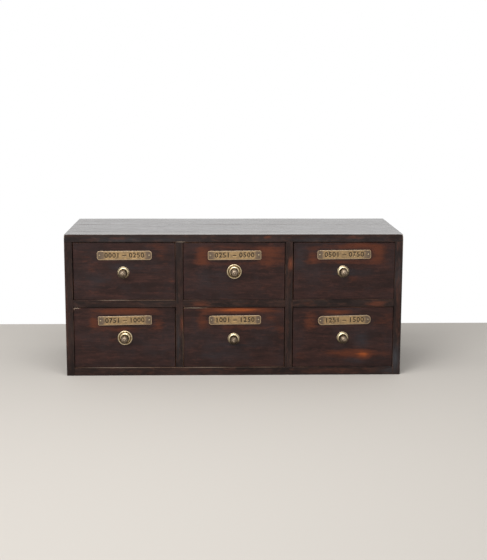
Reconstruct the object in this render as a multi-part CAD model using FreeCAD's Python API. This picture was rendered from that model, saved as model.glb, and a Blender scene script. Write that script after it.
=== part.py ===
"""Six-drawer card catalogue cabinet: a low mahogany case of three columns and two rows.

The case is a box of solid boards. Its sides are dovetailed up into the top, the bottom,
shelf and partitions stand in stopped housings, and the shelf crosses the two partitions
with halving joints. Each drawer has lapped dovetails at the front, through dovetails at
the back, a grooved-in bottom, a turned brass knob on a rosette, and a brass label plate.

Frame: +X to the right as seen from the front, +Y to the back, +Z up, in millimetres.
The origin is at the centre of the bounding box's lowest face, where the case stands.
"""

import FreeCAD, Part
import math
import os
from FreeCAD import Vector

# ---- driving dimensions of the case ----
CASE_WIDTH = 762.0
CASE_DEPTH = 305.0
CASE_HEIGHT = 325.0
SIDE_THICKNESS = 18.0
TOP_THICKNESS = 18.0
BOTTOM_THICKNESS = 19.0
SHELF_THICKNESS = 17.0
PARTITION_THICKNESS = 17.0
BACK_THICKNESS = 9.0
UPPER_ROW_HEIGHT = 131.5
OUTER_ARRIS = 2.0
INNER_ARRIS = 0.7

# ---- joints of the case ----
HOUSING_DEPTH = 6.0
HOUSING_STOP = 15.0
BACK_REBATE = 8.0
BACK_LAP = 6.0
BACK_FLOOR_GAP = 1.0
CASE_TAIL_COUNT = 5
CASE_TAIL_LENGTH = 12.0
CASE_TAIL_ROOT = 34.0
CASE_TAIL_TIP = 39.0

# ---- drawers ----
COLUMNS = 3
SIDE_GAP = 1.2
TOP_GAP = 1.2
RUNNING_GAP = 0.3
DRAWER_LENGTH = 280.0
FRONT_THICKNESS = 18.0
LINING_THICKNESS = 9.0
DRAWER_SIDE_DROP = 4.0
DRAWER_BACK_DROP = 10.0
DRAWER_BOTTOM_THICKNESS = 6.0
DRAWER_BOTTOM_RAISE = 6.0
GROOVE_IN_SIDE = 4.0
GROOVE_IN_FRONT = 5.0
FRONT_TAIL_LENGTH = 12.0
DRAWER_TAIL_COUNT = 3
DRAWER_TAIL_ROOT = 21.0
DRAWER_TAIL_TIP = 25.0
STOP_WIDTH = 18.0
STOP_HEIGHT = 14.0
STOP_SPREAD = 70.0

# Each drawer has settled a little differently: how far its front lies behind the case's,
# and how far the drawer sits to the right of its opening's middle.
FRONT_SETBACKS = [1.6, 0.8, 1.2, 2.0, 1.4, 1.2]
DRAWER_SHIFTS = [0.5, -0.1, 0.8, -0.5, -0.1, 0.4]

# ---- brassware ----
LABEL_WIDTHS = [122.5, 120.0, 121.0, 121.0, 118.0, 119.5]
LABEL_HEIGHT = 20.4
LABEL_THICKNESS = 1.2
LABEL_BELOW_OPENING = 29.5
LABEL_PIN_INSET = 5.5
LABEL_TILTS = [0.2, 0.4, 0.6, 1.0, 0.5, 1.3]
LABEL_CORNERS = [6.0, 3.5, 5.0, 2.5, 5.5, 9.0]
SMALL_ROSETTE_RADIUS = 13.5
LARGE_ROSETTE_RADIUS = 16.7
LARGE_ROSETTE_DRAWERS = (2, 4)
ROSETTE_HEIGHT = 5.2
ROSETTE_CROWN_RADIUS = 7.0
ROSETTE_RIM = 0.8
ROSETTE_BEAD = 3.4
ROSETTE_BEAD_RISE = 1.3
ROSETTE_GROOVE = 1.2
KNOB_FOOT_RADIUS = 5.6
KNOB_FOOT_HEIGHT = 1.0
KNOB_WAIST_RADIUS = 3.8
KNOB_WAIST_OUT = 4.2
KNOB_NECK_RADIUS = 4.4
KNOB_BALL_RADIUS = 9.1
KNOB_BALL_OUT = 20.3
KNOB_BUTTON_RADIUS = 2.2
KNOB_BUTTON_RISE = 0.6
SHANK_RADIUS = 2.5
SHANK_CLEARANCE = 0.2

# Plates and knobs were fitted by eye: how far each sits to the right of its opening's
# middle, and how far below the height that the drawers share.
LABEL_SHIFTS = [1.2, 0.9, 0.4, 0.3, 2.0, 3.2]
LABEL_DROPS = [0.4, 0.3, -0.9, 0.9, 0.3, 1.2]
KNOB_SHIFTS = [-1.7, 0.2, -1.5, 0.0, -0.9, 0.0]
KNOB_DROPS = [3.3, 1.1, 1.7, 0.9, 3.9, 2.0]

# ---- fasteners ----
WASHER_RADIUS = 6.5
WASHER_THICKNESS = 1.0
NUT_SIZE = 9.0
NUT_THICKNESS = 4.0
SHANK_BEYOND_NUT = 1.5
PIN_RADIUS = 0.8
PIN_LENGTH = 8.0
PIN_HEAD_RADIUS = 1.9
PIN_HEAD_RISE = 1.0
PIN_CLEARANCE = 0.05
BOTTOM_NAIL_LENGTH = 14.0
BOTTOM_NAIL_SPREAD = 75.0
BACK_NAIL_RADIUS = 1.1
BACK_NAIL_LENGTH = 28.0
BACK_NAIL_HEAD_RADIUS = 2.6
BACK_NAIL_HEAD_RISE = 0.8
BACK_NAIL_FROM_EDGE = 22.0

# ---- places that follow from them ----
KNOB_LENGTH = KNOB_BALL_OUT + (KNOB_BALL_RADIUS**2 - KNOB_BUTTON_RADIUS**2) ** 0.5 + KNOB_BUTTON_RISE
KNOB_REACH = KNOB_LENGTH - min(FRONT_SETBACKS)
FRONT_Y = (KNOB_REACH - CASE_DEPTH - BACK_NAIL_HEAD_RISE) / 2
BACK_Y = FRONT_Y + CASE_DEPTH
BACK_BOARD_Y = BACK_Y - BACK_THICKNESS
HALF_WIDTH = CASE_WIDTH / 2
INNER_HALF = HALF_WIDTH - SIDE_THICKNESS
TOP_Z = CASE_HEIGHT - TOP_THICKNESS
SHELF_TOP_Z = TOP_Z - UPPER_ROW_HEIGHT
SHELF_Z = SHELF_TOP_Z - SHELF_THICKNESS
HALVING_Y = (FRONT_Y + BACK_BOARD_Y) / 2
COLUMN_WIDTH = (2 * INNER_HALF - (COLUMNS - 1) * PARTITION_THICKNESS) / COLUMNS
COLUMN_PITCH = COLUMN_WIDTH + PARTITION_THICKNESS
COLUMN_CENTRES = [(i - (COLUMNS - 1) / 2) * COLUMN_PITCH for i in range(COLUMNS)]
PARTITION_CENTRES = [-COLUMN_PITCH / 2, COLUMN_PITCH / 2]
ROWS = [(SHELF_TOP_Z, TOP_Z), (BOTTOM_THICKNESS, SHELF_Z)]

UPWARD = Vector(0, 0, 1)
OUTWARD = Vector(0, -1, 0)


def block(x, y, z):
    """A box from three (low, high) pairs."""
    return Part.makeBox(x[1] - x[0], y[1] - y[0], z[1] - z[0], Vector(x[0], y[0], z[0]))


def middle(edge):
    return edge.BoundBox.Center


def rounded(shape, radius, wanted):
    """The shape with every edge that `wanted` accepts rounded."""
    edges = [e for e in shape.Edges if wanted(e)]
    return shape.makeFillet(radius, edges)


def round_front(shape, radius):
    """Rounds the edges that bound a board's front face."""
    front = shape.BoundBox.YMin
    return rounded(shape, radius, lambda e: abs(e.BoundBox.YMax - front) < 1e-6)


def compound(shapes):
    return Part.makeCompound(shapes)


def prism_along_x(x, yz_points):
    """A closed outline in the YZ plane, carried along X."""
    corners = [Vector(x[0], y, z) for y, z in yz_points]
    face = Part.Face(Part.makePolygon(corners + corners[:1]))
    return face.extrude(Vector(x[1] - x[0], 0, 0))


def spread(low, high, count):
    """The centres of `count` equal divisions of a span."""
    step = (high - low) / count
    return [low + (i + 0.5) * step for i in range(count)]


def turned(outline, seat, outward):
    """A solid of revolution that stands on `seat`. `outline` is closed edges in (radius, height)."""
    face = Part.Face(Part.Wire(outline))
    solid = face.revolve(Vector(0, 0, 0), UPWARD, 360)
    if solid.Volume < 0:
        solid.reverse()
    return solid.transformed(FreeCAD.Placement(seat, FreeCAD.Rotation(UPWARD, outward)).Matrix)


def line(a, b):
    return Part.makeLine(Vector(a[0], 0, a[1]), Vector(b[0], 0, b[1]))


def arc(a, through, b):
    points = [Vector(p[0], 0, p[1]) for p in (a, through, b)]
    return Part.Arc(*points).toShape()


def cap(radius, base, rise):
    """The arc of a spherical cap, from its rim to its pole on the axis."""
    sphere_radius = (radius**2 + rise**2) / (2 * rise)
    centre = base + rise - sphere_radius
    half_angle = math.asin(radius / sphere_radius) / 2
    halfway = (sphere_radius * math.sin(half_angle), centre + sphere_radius * math.cos(half_angle))
    return arc((radius, base), halfway, (0, base + rise))


def rod(radius, start, direction, length):
    return Part.makeCylinder(radius, length, start, direction)


def domed_pin(head_radius, head_rise, radius, length, seat, outward):
    """A pin whose shank runs from `seat` against `outward`, with a domed head on the seat."""
    outline = [
        line((0, -length), (radius, -length)),
        line((radius, -length), (radius, 0)),
        line((radius, 0), (head_radius, 0)),
        cap(head_radius, 0, head_rise),
        line((0, head_rise), (0, -length)),
    ]
    return turned(outline, seat, outward)


# ---- case ----


def case_tails(x):
    """The tails on a side's upper end, which stand in the top's lapped sockets."""
    tails = []
    for y in spread(FRONT_Y, BACK_BOARD_Y, CASE_TAIL_COUNT):
        root, tip = CASE_TAIL_ROOT / 2, CASE_TAIL_TIP / 2
        low, high = TOP_Z, TOP_Z + CASE_TAIL_LENGTH
        tails.append(prism_along_x(x, [(y - root, low), (y + root, low), (y + tip, high), (y - tip, high)]))
    return tails


def back_rebate():
    """The recess behind the case that the back boards lie in."""
    reach = INNER_HALF + BACK_REBATE
    return block((-reach, reach), (BACK_BOARD_Y, BACK_Y), (0, TOP_Z + BACK_REBATE))


def make_bottom():
    board = block((-INNER_HALF, INNER_HALF), (FRONT_Y, BACK_BOARD_Y), (0, BOTTOM_THICKNESS))
    reach = INNER_HALF + HOUSING_DEPTH
    tongues = block((-reach, reach), (FRONT_Y + HOUSING_STOP, BACK_BOARD_Y), (0, BOTTOM_THICKNESS))
    return round_front(board, INNER_ARRIS).fuse(tongues).removeSplitter()


def make_shelf():
    """The shelf, notched from its front edge to cross the partitions."""
    board = block((-INNER_HALF, INNER_HALF), (FRONT_Y, BACK_BOARD_Y), (SHELF_Z, SHELF_TOP_Z))
    reach = INNER_HALF + HOUSING_DEPTH
    tongues = block((-reach, reach), (FRONT_Y + HOUSING_STOP, BACK_BOARD_Y), (SHELF_Z, SHELF_TOP_Z))
    shelf = round_front(board, INNER_ARRIS).fuse(tongues).removeSplitter()
    for centre in PARTITION_CENTRES:
        notch_x = (centre - PARTITION_THICKNESS / 2, centre + PARTITION_THICKNESS / 2)
        shelf = shelf.cut(block(notch_x, (FRONT_Y, HALVING_Y), (SHELF_Z, SHELF_TOP_Z)))
    return shelf


def make_partition(centre):
    """An upright between two columns, notched from the back to cross the shelf."""
    x = (centre - PARTITION_THICKNESS / 2, centre + PARTITION_THICKNESS / 2)
    board = block(x, (FRONT_Y, BACK_BOARD_Y), (BOTTOM_THICKNESS, TOP_Z))
    tongue_z = (BOTTOM_THICKNESS - HOUSING_DEPTH, TOP_Z + HOUSING_DEPTH)
    tongues = block(x, (FRONT_Y + HOUSING_STOP, BACK_BOARD_Y), tongue_z)
    upright = round_front(board, INNER_ARRIS).fuse(tongues).removeSplitter()
    return upright.cut(block(x, (HALVING_Y, BACK_BOARD_Y), (SHELF_Z, SHELF_TOP_Z)))


def make_side(sign, neighbours):
    """A side of the case: sign is -1 for the left and 1 for the right."""
    x = sorted((sign * INNER_HALF, sign * HALF_WIDTH))
    board = block(x, (FRONT_Y, BACK_Y), (0, TOP_Z))
    outer = sign * HALF_WIDTH

    def on_outer_face(edge):
        flat = abs(edge.BoundBox.XMax - edge.BoundBox.XMin) < 1e-6
        return flat and abs(middle(edge).x - outer) < 1e-6 and middle(edge).z < TOP_Z - 1

    side = rounded(board, OUTER_ARRIS, on_outer_face)
    return side.fuse(case_tails(x)).removeSplitter().cut(neighbours + [back_rebate()])


def make_top(neighbours):
    board = block((-HALF_WIDTH, HALF_WIDTH), (FRONT_Y, BACK_Y), (TOP_Z, CASE_HEIGHT))

    def on_upper_face(edge):
        return edge.BoundBox.ZMin > CASE_HEIGHT - 1e-6

    def at_corner(edge):
        return edge.BoundBox.ZLength > TOP_THICKNESS / 2

    top = rounded(board, OUTER_ARRIS, lambda e: on_upper_face(e) or at_corner(e))
    sockets = []
    for sign in (-1, 1):
        sockets += case_tails(sorted((sign * INNER_HALF, sign * HALF_WIDTH)))
    return top.cut(sockets + neighbours + [back_rebate()])


def make_back_boards():
    """Two boards across the back that meet in a lapped joint."""
    reach = INNER_HALF + BACK_REBATE
    x, joint_z = (-reach, reach), (SHELF_Z + SHELF_TOP_Z) / 2
    outer_half = (BACK_Y - BACK_THICKNESS / 2, BACK_Y)
    lip = block(x, outer_half, (joint_z, joint_z + BACK_LAP))
    lower = block(x, (BACK_BOARD_Y, BACK_Y), (BACK_FLOOR_GAP, joint_z)).fuse(lip).removeSplitter()
    upper = block(x, (BACK_BOARD_Y, BACK_Y), (joint_z, TOP_Z + BACK_REBATE)).cut(lip)
    return upper, lower


def make_back_nails():
    """Nails through the back boards into the sides and the partitions."""
    side_x = INNER_HALF + BACK_REBATE / 2
    heights = [BACK_NAIL_FROM_EDGE, SHELF_Z - BACK_NAIL_FROM_EDGE]
    heights += [SHELF_TOP_Z + BACK_NAIL_FROM_EDGE, TOP_Z - BACK_NAIL_FROM_EDGE]
    nails = []
    for x in [-side_x] + PARTITION_CENTRES + [side_x]:
        for z in heights:
            seat = Vector(x, BACK_Y, z)
            nails.append(
                domed_pin(
                    BACK_NAIL_HEAD_RADIUS, BACK_NAIL_HEAD_RISE, BACK_NAIL_RADIUS, BACK_NAIL_LENGTH,
                    seat, OUTWARD * -1,
                )
            )
    return nails


def make_drawer_stops():
    """Blocks glued at the back of each bay, two behind each drawer."""
    stops = []
    for number, (centre, (low, _)) in enumerate(bays()):
        start = FRONT_Y + FRONT_SETBACKS[number] + DRAWER_LENGTH
        for offset in (-STOP_SPREAD, STOP_SPREAD):
            x = (centre + offset - STOP_WIDTH / 2, centre + offset + STOP_WIDTH / 2)
            stops.append(block(x, (start + RUNNING_GAP, BACK_BOARD_Y), (low, low + STOP_HEIGHT)))
    return stops


def bays():
    """(column centre, (low z, high z)) of the six bays, left to right, upper row first."""
    return [(centre, row) for row in ROWS for centre in COLUMN_CENTRES]


def make_case():
    bottom, shelf = make_bottom(), make_shelf()
    partitions = [make_partition(centre) for centre in PARTITION_CENTRES]
    upper_back, lower_back = make_back_boards()
    nails = make_back_nails()
    return {
        "case_top": make_top(partitions),
        "case_bottom": bottom.cut(partitions),
        "case_side_left": make_side(-1, [bottom, shelf] + nails),
        "case_side_right": make_side(1, [bottom, shelf] + nails),
        "case_shelf": shelf,
        "case_partition_left": partitions[0].cut(nails),
        "case_partition_right": partitions[1].cut(nails),
        "case_back_upper": upper_back.cut(nails),
        "case_back_lower": lower_back.cut(nails),
        "case_back_nails": compound(nails),
        "case_drawer_stops": compound(make_drawer_stops()),
    }


# ---- drawers ----


def drawer_tails(x, y, z, root_at_back):
    """Dovetails on one end of a drawer side, spread over the heights z."""
    tails = []
    root, tip = DRAWER_TAIL_ROOT / 2, DRAWER_TAIL_TIP / 2
    near, far = (tip, root) if root_at_back else (root, tip)
    for centre in spread(z[0], z[1], DRAWER_TAIL_COUNT):
        outline = [(y[0], centre - near), (y[1], centre - far), (y[1], centre + far), (y[0], centre + near)]
        tails.append(prism_along_x(x, outline))
    return tails


def make_label_plate(number, seat):
    """A flat plate centred on `seat`, with this drawer's own width, corner radius and tilt."""
    half_w, half_h = LABEL_WIDTHS[number] / 2, LABEL_HEIGHT / 2
    x, z = (seat.x - half_w, seat.x + half_w), (seat.z - half_h, seat.z + half_h)
    plate = block(x, (seat.y - LABEL_THICKNESS, seat.y), z)
    plate = rounded(plate, LABEL_CORNERS[number], lambda e: e.BoundBox.YLength > LABEL_THICKNESS / 2)
    for sign in (-1, 1):
        hole_at = seat + Vector(sign * (half_w - LABEL_PIN_INSET), 0, 0)
        plate = plate.cut(rod(PIN_RADIUS + PIN_CLEARANCE, hole_at, OUTWARD, LABEL_THICKNESS))
    plate.rotate(seat, Vector(0, 1, 0), -LABEL_TILTS[number])
    return plate


def make_label_pins(number, seat, clearance=0.0):
    """The two pins that hold a label plate, or their holes if a clearance is given."""
    pins = []
    for sign in (-1, 1):
        at = seat + Vector(sign * (LABEL_WIDTHS[number] / 2 - LABEL_PIN_INSET), -LABEL_THICKNESS, 0)
        if clearance:
            pin = rod(PIN_RADIUS + clearance, at, OUTWARD * -1, PIN_LENGTH + clearance)
        else:
            pin = domed_pin(PIN_HEAD_RADIUS, PIN_HEAD_RISE, PIN_RADIUS, PIN_LENGTH, at, OUTWARD)
        pin.rotate(seat, Vector(0, 1, 0), -LABEL_TILTS[number])
        pins.append(pin)
    return pins


def dome(foot, crown):
    """The arc of a rosette's dome, bulging outwards from its foot to its crown."""
    (foot_radius, foot_height), (crown_radius, crown_height) = foot, crown
    bulge = (foot_radius - crown_radius) / 5
    halfway = ((foot_radius + crown_radius) / 2 + bulge / 2, (foot_height + crown_height) / 2 + bulge)
    return arc(foot, halfway, crown)


def make_rosette(number, seat):
    """The domed plate behind a knob. Two drawers have a wider one with a bead."""
    large = number + 1 in LARGE_ROSETTE_DRAWERS
    radius = LARGE_ROSETTE_RADIUS if large else SMALL_ROSETTE_RADIUS
    crown, bore = (ROSETTE_CROWN_RADIUS, ROSETTE_HEIGHT), SHANK_RADIUS + SHANK_CLEARANCE
    rim = (radius, ROSETTE_RIM)
    outline = [line((bore, ROSETTE_HEIGHT), (bore, 0)), line((bore, 0), (radius, 0)), line((radius, 0), rim)]
    if large:
        bead_top = (radius - ROSETTE_BEAD / 2, ROSETTE_RIM + ROSETTE_BEAD_RISE)
        bead_foot = (radius - ROSETTE_BEAD, ROSETTE_RIM)
        groove = (radius - ROSETTE_BEAD - ROSETTE_GROOVE, ROSETTE_RIM)
        outline += [arc(rim, bead_top, bead_foot), line(bead_foot, groove), dome(groove, crown)]
    else:
        outline.append(dome(rim, crown))
    outline.append(line(crown, (bore, ROSETTE_HEIGHT)))
    return turned(outline, seat, OUTWARD)


def make_knob(seat):
    """A turned ball on a waisted neck, with its threaded shank."""
    shank_end = -(FRONT_THICKNESS + WASHER_THICKNESS + NUT_THICKNESS + SHANK_BEYOND_NUT)
    button_foot = KNOB_LENGTH - KNOB_BUTTON_RISE
    foot_top = (KNOB_FOOT_RADIUS, ROSETTE_HEIGHT + KNOB_FOOT_HEIGHT)
    waist = (KNOB_WAIST_RADIUS, ROSETTE_HEIGHT + KNOB_WAIST_OUT)
    neck_top = (KNOB_NECK_RADIUS, KNOB_BALL_OUT - (KNOB_BALL_RADIUS**2 - KNOB_NECK_RADIUS**2) ** 0.5)
    outline = [
        line((0, shank_end), (SHANK_RADIUS, shank_end)),
        line((SHANK_RADIUS, shank_end), (SHANK_RADIUS, ROSETTE_HEIGHT)),
        line((SHANK_RADIUS, ROSETTE_HEIGHT), (KNOB_FOOT_RADIUS, ROSETTE_HEIGHT)),
        line((KNOB_FOOT_RADIUS, ROSETTE_HEIGHT), foot_top),
        arc(foot_top, waist, neck_top),
        arc(neck_top, (KNOB_BALL_RADIUS, KNOB_BALL_OUT), (KNOB_BUTTON_RADIUS, button_foot)),
        cap(KNOB_BUTTON_RADIUS, button_foot, KNOB_BUTTON_RISE),
        line((0, KNOB_LENGTH), (0, shank_end)),
    ]
    return turned(outline, seat, OUTWARD)


def make_knob_nut(seat):
    """The washer and square nut inside the drawer front."""
    inner_face = seat + Vector(0, FRONT_THICKNESS, 0)
    inward = OUTWARD * -1
    washer = rod(WASHER_RADIUS, inner_face, inward, WASHER_THICKNESS)
    washer = washer.cut(rod(SHANK_RADIUS + SHANK_CLEARANCE, inner_face, inward, WASHER_THICKNESS))
    nut_y = inner_face.y + WASHER_THICKNESS
    half = NUT_SIZE / 2
    x, z = (seat.x - half, seat.x + half), (seat.z - half, seat.z + half)
    nut = block(x, (nut_y, nut_y + NUT_THICKNESS), z)
    nut = nut.cut(rod(SHANK_RADIUS, Vector(seat.x, nut_y, seat.z), inward, NUT_THICKNESS))
    return [washer, nut]


def make_bottom_nails(centre, back_middle_y, low_z):
    """Three nails up through a drawer's bottom into its back."""
    nails = []
    for offset in (-BOTTOM_NAIL_SPREAD, 0, BOTTOM_NAIL_SPREAD):
        seat = Vector(centre + offset, back_middle_y, low_z)
        nails.append(
            domed_pin(PIN_HEAD_RADIUS, PIN_HEAD_RISE, PIN_RADIUS, BOTTOM_NAIL_LENGTH, seat, UPWARD * -1)
        )
    return nails


def make_drawer(number, centre, row):
    """All the pieces of one drawer, in the row frame, named by what they are."""
    half, middle_x = COLUMN_WIDTH / 2 - SIDE_GAP, centre + DRAWER_SHIFTS[number]
    x = (middle_x - half, middle_x + half)
    low, high = row[0] + RUNNING_GAP, row[1] - TOP_GAP
    face_y = FRONT_Y + FRONT_SETBACKS[number]
    inner_y, end_y = face_y + FRONT_THICKNESS, face_y + DRAWER_LENGTH
    back_y = (end_y - LINING_THICKNESS, end_y)
    side_top, back_top = high - DRAWER_SIDE_DROP, high - DRAWER_BACK_DROP
    bottom_z = (low + DRAWER_BOTTOM_RAISE, low + DRAWER_BOTTOM_RAISE + DRAWER_BOTTOM_THICKNESS)
    side_x = [(x[0], x[0] + LINING_THICKNESS), (x[1] - LINING_THICKNESS, x[1])]
    groove_x = (side_x[0][1] - GROOVE_IN_SIDE, side_x[1][0] + GROOVE_IN_SIDE)
    tail_y = (inner_y - FRONT_TAIL_LENGTH, inner_y)

    bottom = block(groove_x, (inner_y - GROOVE_IN_FRONT, end_y), bottom_z)
    front_tails, back_tails, sides = [], [], []
    for span in side_x:
        tails_ahead = drawer_tails(span, tail_y, (low, side_top), True)
        tails_behind = drawer_tails(span, back_y, (bottom_z[1], back_top), False)
        side = block(span, (inner_y, end_y), (low, side_top))
        pins = block(span, back_y, (bottom_z[1], back_top)).cut(tails_behind)
        side = side.cut(pins).fuse(tails_ahead).removeSplitter().cut(bottom)
        sides.append(side)
        front_tails += tails_ahead
        back_tails += tails_behind

    knob_z = (row[0] + row[1]) / 2 - KNOB_DROPS[number]
    knob_seat = Vector(centre + KNOB_SHIFTS[number], face_y, knob_z)
    label_z = row[1] - LABEL_BELOW_OPENING - LABEL_DROPS[number]
    label_seat = Vector(centre + LABEL_SHIFTS[number], face_y, label_z)
    nails = make_bottom_nails(centre, (back_y[0] + back_y[1]) / 2, bottom_z[0])
    shank_hole = rod(SHANK_RADIUS + SHANK_CLEARANCE, knob_seat, OUTWARD * -1, FRONT_THICKNESS)
    pin_holes = make_label_pins(number, label_seat, PIN_CLEARANCE)

    front = round_front(block(x, (face_y, inner_y), (low, high)), INNER_ARRIS)
    front = front.cut(front_tails + [bottom, shank_hole] + pin_holes)
    back = block(x, back_y, (bottom_z[1], back_top)).cut(back_tails + nails)
    fasteners = make_label_pins(number, label_seat) + make_knob_nut(knob_seat) + nails
    return {
        "front": front,
        "sides": compound(sides),
        "back": back,
        "bottom": bottom.cut(nails),
        "rosette": make_rosette(number, knob_seat),
        "knob": make_knob(knob_seat),
        "label_plate": make_label_plate(number, label_seat),
        "fasteners": compound(fasteners),
    }


def main():
    os.makedirs("parts", exist_ok=True)
    nodes = make_case()
    for number, (centre, row) in enumerate(bays()):
        for piece, shape in make_drawer(number, centre, row).items():
            nodes[f"drawer_{number + 1}_{piece}"] = shape
    for name, shape in nodes.items():
        if not shape.isValid():
            raise ValueError(f"{name} is not a valid shape")
        shape.exportStep(f"parts/{name}.step")
    whole = compound(list(nodes.values())).BoundBox
    print(len(nodes), "nodes", [round(v, 3) for v in (whole.XMin, whole.YMin, whole.ZMin)])
    print([round(v, 3) for v in (whole.XMax, whole.YMax, whole.ZMax)])


main()
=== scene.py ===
"""The looks of the card catalogue cabinet: aged mahogany, brassware, and a plain studio.

Metres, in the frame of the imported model: +X right as seen from the front, +Y back, +Z up.
"""

import math

import bmesh
import bpy
from mathutils import Matrix, Vector, noise


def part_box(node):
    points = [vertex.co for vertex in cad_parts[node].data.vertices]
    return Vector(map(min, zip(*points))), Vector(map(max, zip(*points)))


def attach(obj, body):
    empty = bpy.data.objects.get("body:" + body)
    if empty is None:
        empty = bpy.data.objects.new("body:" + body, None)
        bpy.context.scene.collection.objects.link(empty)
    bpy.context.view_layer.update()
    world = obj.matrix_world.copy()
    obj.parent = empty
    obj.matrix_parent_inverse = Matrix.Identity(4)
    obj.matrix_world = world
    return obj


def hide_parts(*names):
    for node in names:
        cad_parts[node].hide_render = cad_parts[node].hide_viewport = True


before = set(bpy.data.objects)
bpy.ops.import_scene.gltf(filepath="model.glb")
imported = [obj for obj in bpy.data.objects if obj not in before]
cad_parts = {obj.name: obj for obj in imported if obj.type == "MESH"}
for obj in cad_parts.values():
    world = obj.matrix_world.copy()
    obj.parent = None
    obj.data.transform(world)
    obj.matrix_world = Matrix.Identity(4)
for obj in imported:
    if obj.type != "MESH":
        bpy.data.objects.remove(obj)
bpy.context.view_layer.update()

MM = 0.001
DRAWERS = range(1, 7)
LARGE_ROSETTE_DRAWERS = (2, 4)
TOP_LOW, TOP_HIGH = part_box("case_top")
FRONT_Y = TOP_LOW.y

# ---- the plain studio ----
CAMERA_PLACE = Vector((-0.0499, FRONT_Y - 2.5104, 0.6544))
CAMERA_PITCH = math.radians(-9.793)
CAMERA_ROLL = math.radians(0.159)
CAMERA_YAW = math.radians(-1.618)
CAMERA_LENS = 72.61
SENSOR = 36.0
WORLD_FILL = 0.5
WHITE = (1, 1, 1, 1)
FLOOR_COLOUR = (0.60, 0.565, 0.52, 1)
FLOOR_HALF = 4.0
FLOOR_FADES_BESIDE = (1.3, 2.4)
FLOOR_FADES_BEFORE = (1.7, 2.8)
WALL_Y = 0.43
WALL_HEIGHT = 3.0

# ---- how the boards are divided ----
GRID = 6 * MM
NEAR_ARRIS = (0.5 * MM, 1.2 * MM, 2.5 * MM)
SAME_PLACE = 1e-6
SAME_FACE = math.radians(0.4)
SHARP_EDGE = math.radians(38)

# ---- how they have aged ----
TILT_OF_ARRIS = 0.29
CASE_WEAR = 0.8 * MM
DRAWER_WEAR = 0.4 * MM
LINING_WEAR = 0.2 * MM
SPOT_DEPTH = 10 * MM
UPWARD_FACE = 0.75

# The wear of an arris, as shares of the most that a board has: a part that is the same all along,
# and what three noises add, each with its scale. CHIPPED is where the last of them starts to chip
# the arris, and where the chip is deepest.
EVEN_WEAR = 0.25
SLOW_SCALE = 28
SLOW_WEAR = 0.45
QUICK_SCALE = 190
QUICK_WEAR = 0.25
CHIP_SCALE = 62
CHIP_WEAR = 1.5
CHIPPED = (0.34, 0.62)

# Hollows along the top's upper face, at a joint between two boards and at an old score: each has
# its distance behind the front, its half width and depth, the share of the depth that it keeps all
# along, and the (middle, half length) of the stretches where it is deepest. A crack runs in the
# first.
TOP_HOLLOWS = [
    (185 * MM, 7 * MM, 0.45 * MM, 0.3,
     [(-20 * MM, 50 * MM), (110 * MM, 45 * MM), (-350 * MM, 30 * MM)]),
    (51 * MM, 6 * MM, 0.40 * MM, 0.35, [(-325 * MM, 60 * MM), (-125 * MM, 35 * MM)]),
]
HOLLOW_CUTS = (-1, -0.67, -0.33, 0.33, 0.67, 1)
CRACK_HALF_WIDTH = 0.6 * MM
CRACK_DEPTH = 0.7 * MM
WAVE_DEPTH = 0.5 * MM
WAVE_SCALE = (6, 24)

# The top's front upper corners are worn round, less and less away from them.
CORNER_RADIUS = 5 * MM
CORNER_REACH = 10 * MM

# Soft spots on the front edges of the case: (right, up, half width, half height, strength), in
# millimetres from the middle of its foot. Rubbed spots show red wood, spots of wear and highlight a pale
# arris that is painted highlight as well as worn wood, and sheen spots a blue-grey painted sheen.
CASE_SPOTS = {
    "case_top": {
        "rubbed": [(-258, 316, 34, 6, 0.55), (74, 318, 10, 4, 0.85), (262, 317, 26, 6, 0.5),
                   (-330, 311, 30, 5, 0.4), (350, 312, 20, 6, 0.45)],
        # The first spot of wear and the first of sheen each run the whole width: a painted highlight on the
        # top's front arris and, behind it, a paler strip of painted highlight and hand wear.
        "wear_and_highlight": [(0, 325, 700, 4, 0.2), (-120, 307, 9, 3, 1.3), (-380, 317, 5, 8, 0.7),
                 (381, 316, 4, 9, 1.3)],
        "painted_sheen": [(0, 325, 700, 1, 0.7), (-240, 313, 130, 5, 0.35), (220, 313, 150, 5, 0.25)],
    },
    "case_bottom": {
        "rubbed": [(-66, 10, 62, 7, 0.20), (228, 10, 85, 8, 0.25), (-215, 7, 40, 5, 0.2),
                   (40, 9, 400, 9, 0.22)],
        "wear_and_highlight": [(-260, 19, 110, 3, 0.6), (-70, 19, 60, 3, 0.5), (80, 19, 90, 3, 0.4)],
        "painted_sheen": [(362, 12, 26, 9, 0.45)],
    },
    "case_side_left": {
        "rubbed": [(-379, 130, 4, 130, 0.42), (-366, 90, 3, 60, 0.25), (-372, 250, 5, 50, 0.25)],
        "wear_and_highlight": [(-381, 300, 4, 12, 0.7)],
    },
    "case_side_right": {
        "rubbed": [(371, 195, 6, 80, 0.42), (376, 110, 5, 40, 0.25), (373, 300, 8, 22, 0.35)],
        "wear_and_highlight": [(381, 300, 4, 18, 1.2)],
        "painted_sheen": [(370, 38, 7, 26, 0.6), (373, 250, 8, 55, 0.35)],
    },
    "case_shelf": {
        "rubbed": [(-80, 166, 27, 7, 0.7), (321, 166, 25, 8, 0.75), (172, 166, 46, 7, 0.42),
                   (30, 166, 50, 6, 0.35)],
        "wear_and_highlight": [(-270, 175, 50, 3, 0.6), (-160, 175, 50, 3, 0.4)],
    },
    "case_partition_left": {
        "rubbed": [(-119, 119, 5, 20, 0.75), (-124, 60, 7, 50, 0.15)],
        "wear_and_highlight": [(-116, 80, 2.5, 60, 0.5)],
        "painted_sheen": [(-126, 78, 4, 32, 0.3)],
    },
    "case_partition_right": {
        "rubbed": [(127, 258, 5, 14, 1.2), (124, 205, 7, 42, 0.35), (122, 80, 7, 75, 0.35)],
        "wear_and_highlight": [(127, 258, 6, 14, 0.5)],
    },
}

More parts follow.
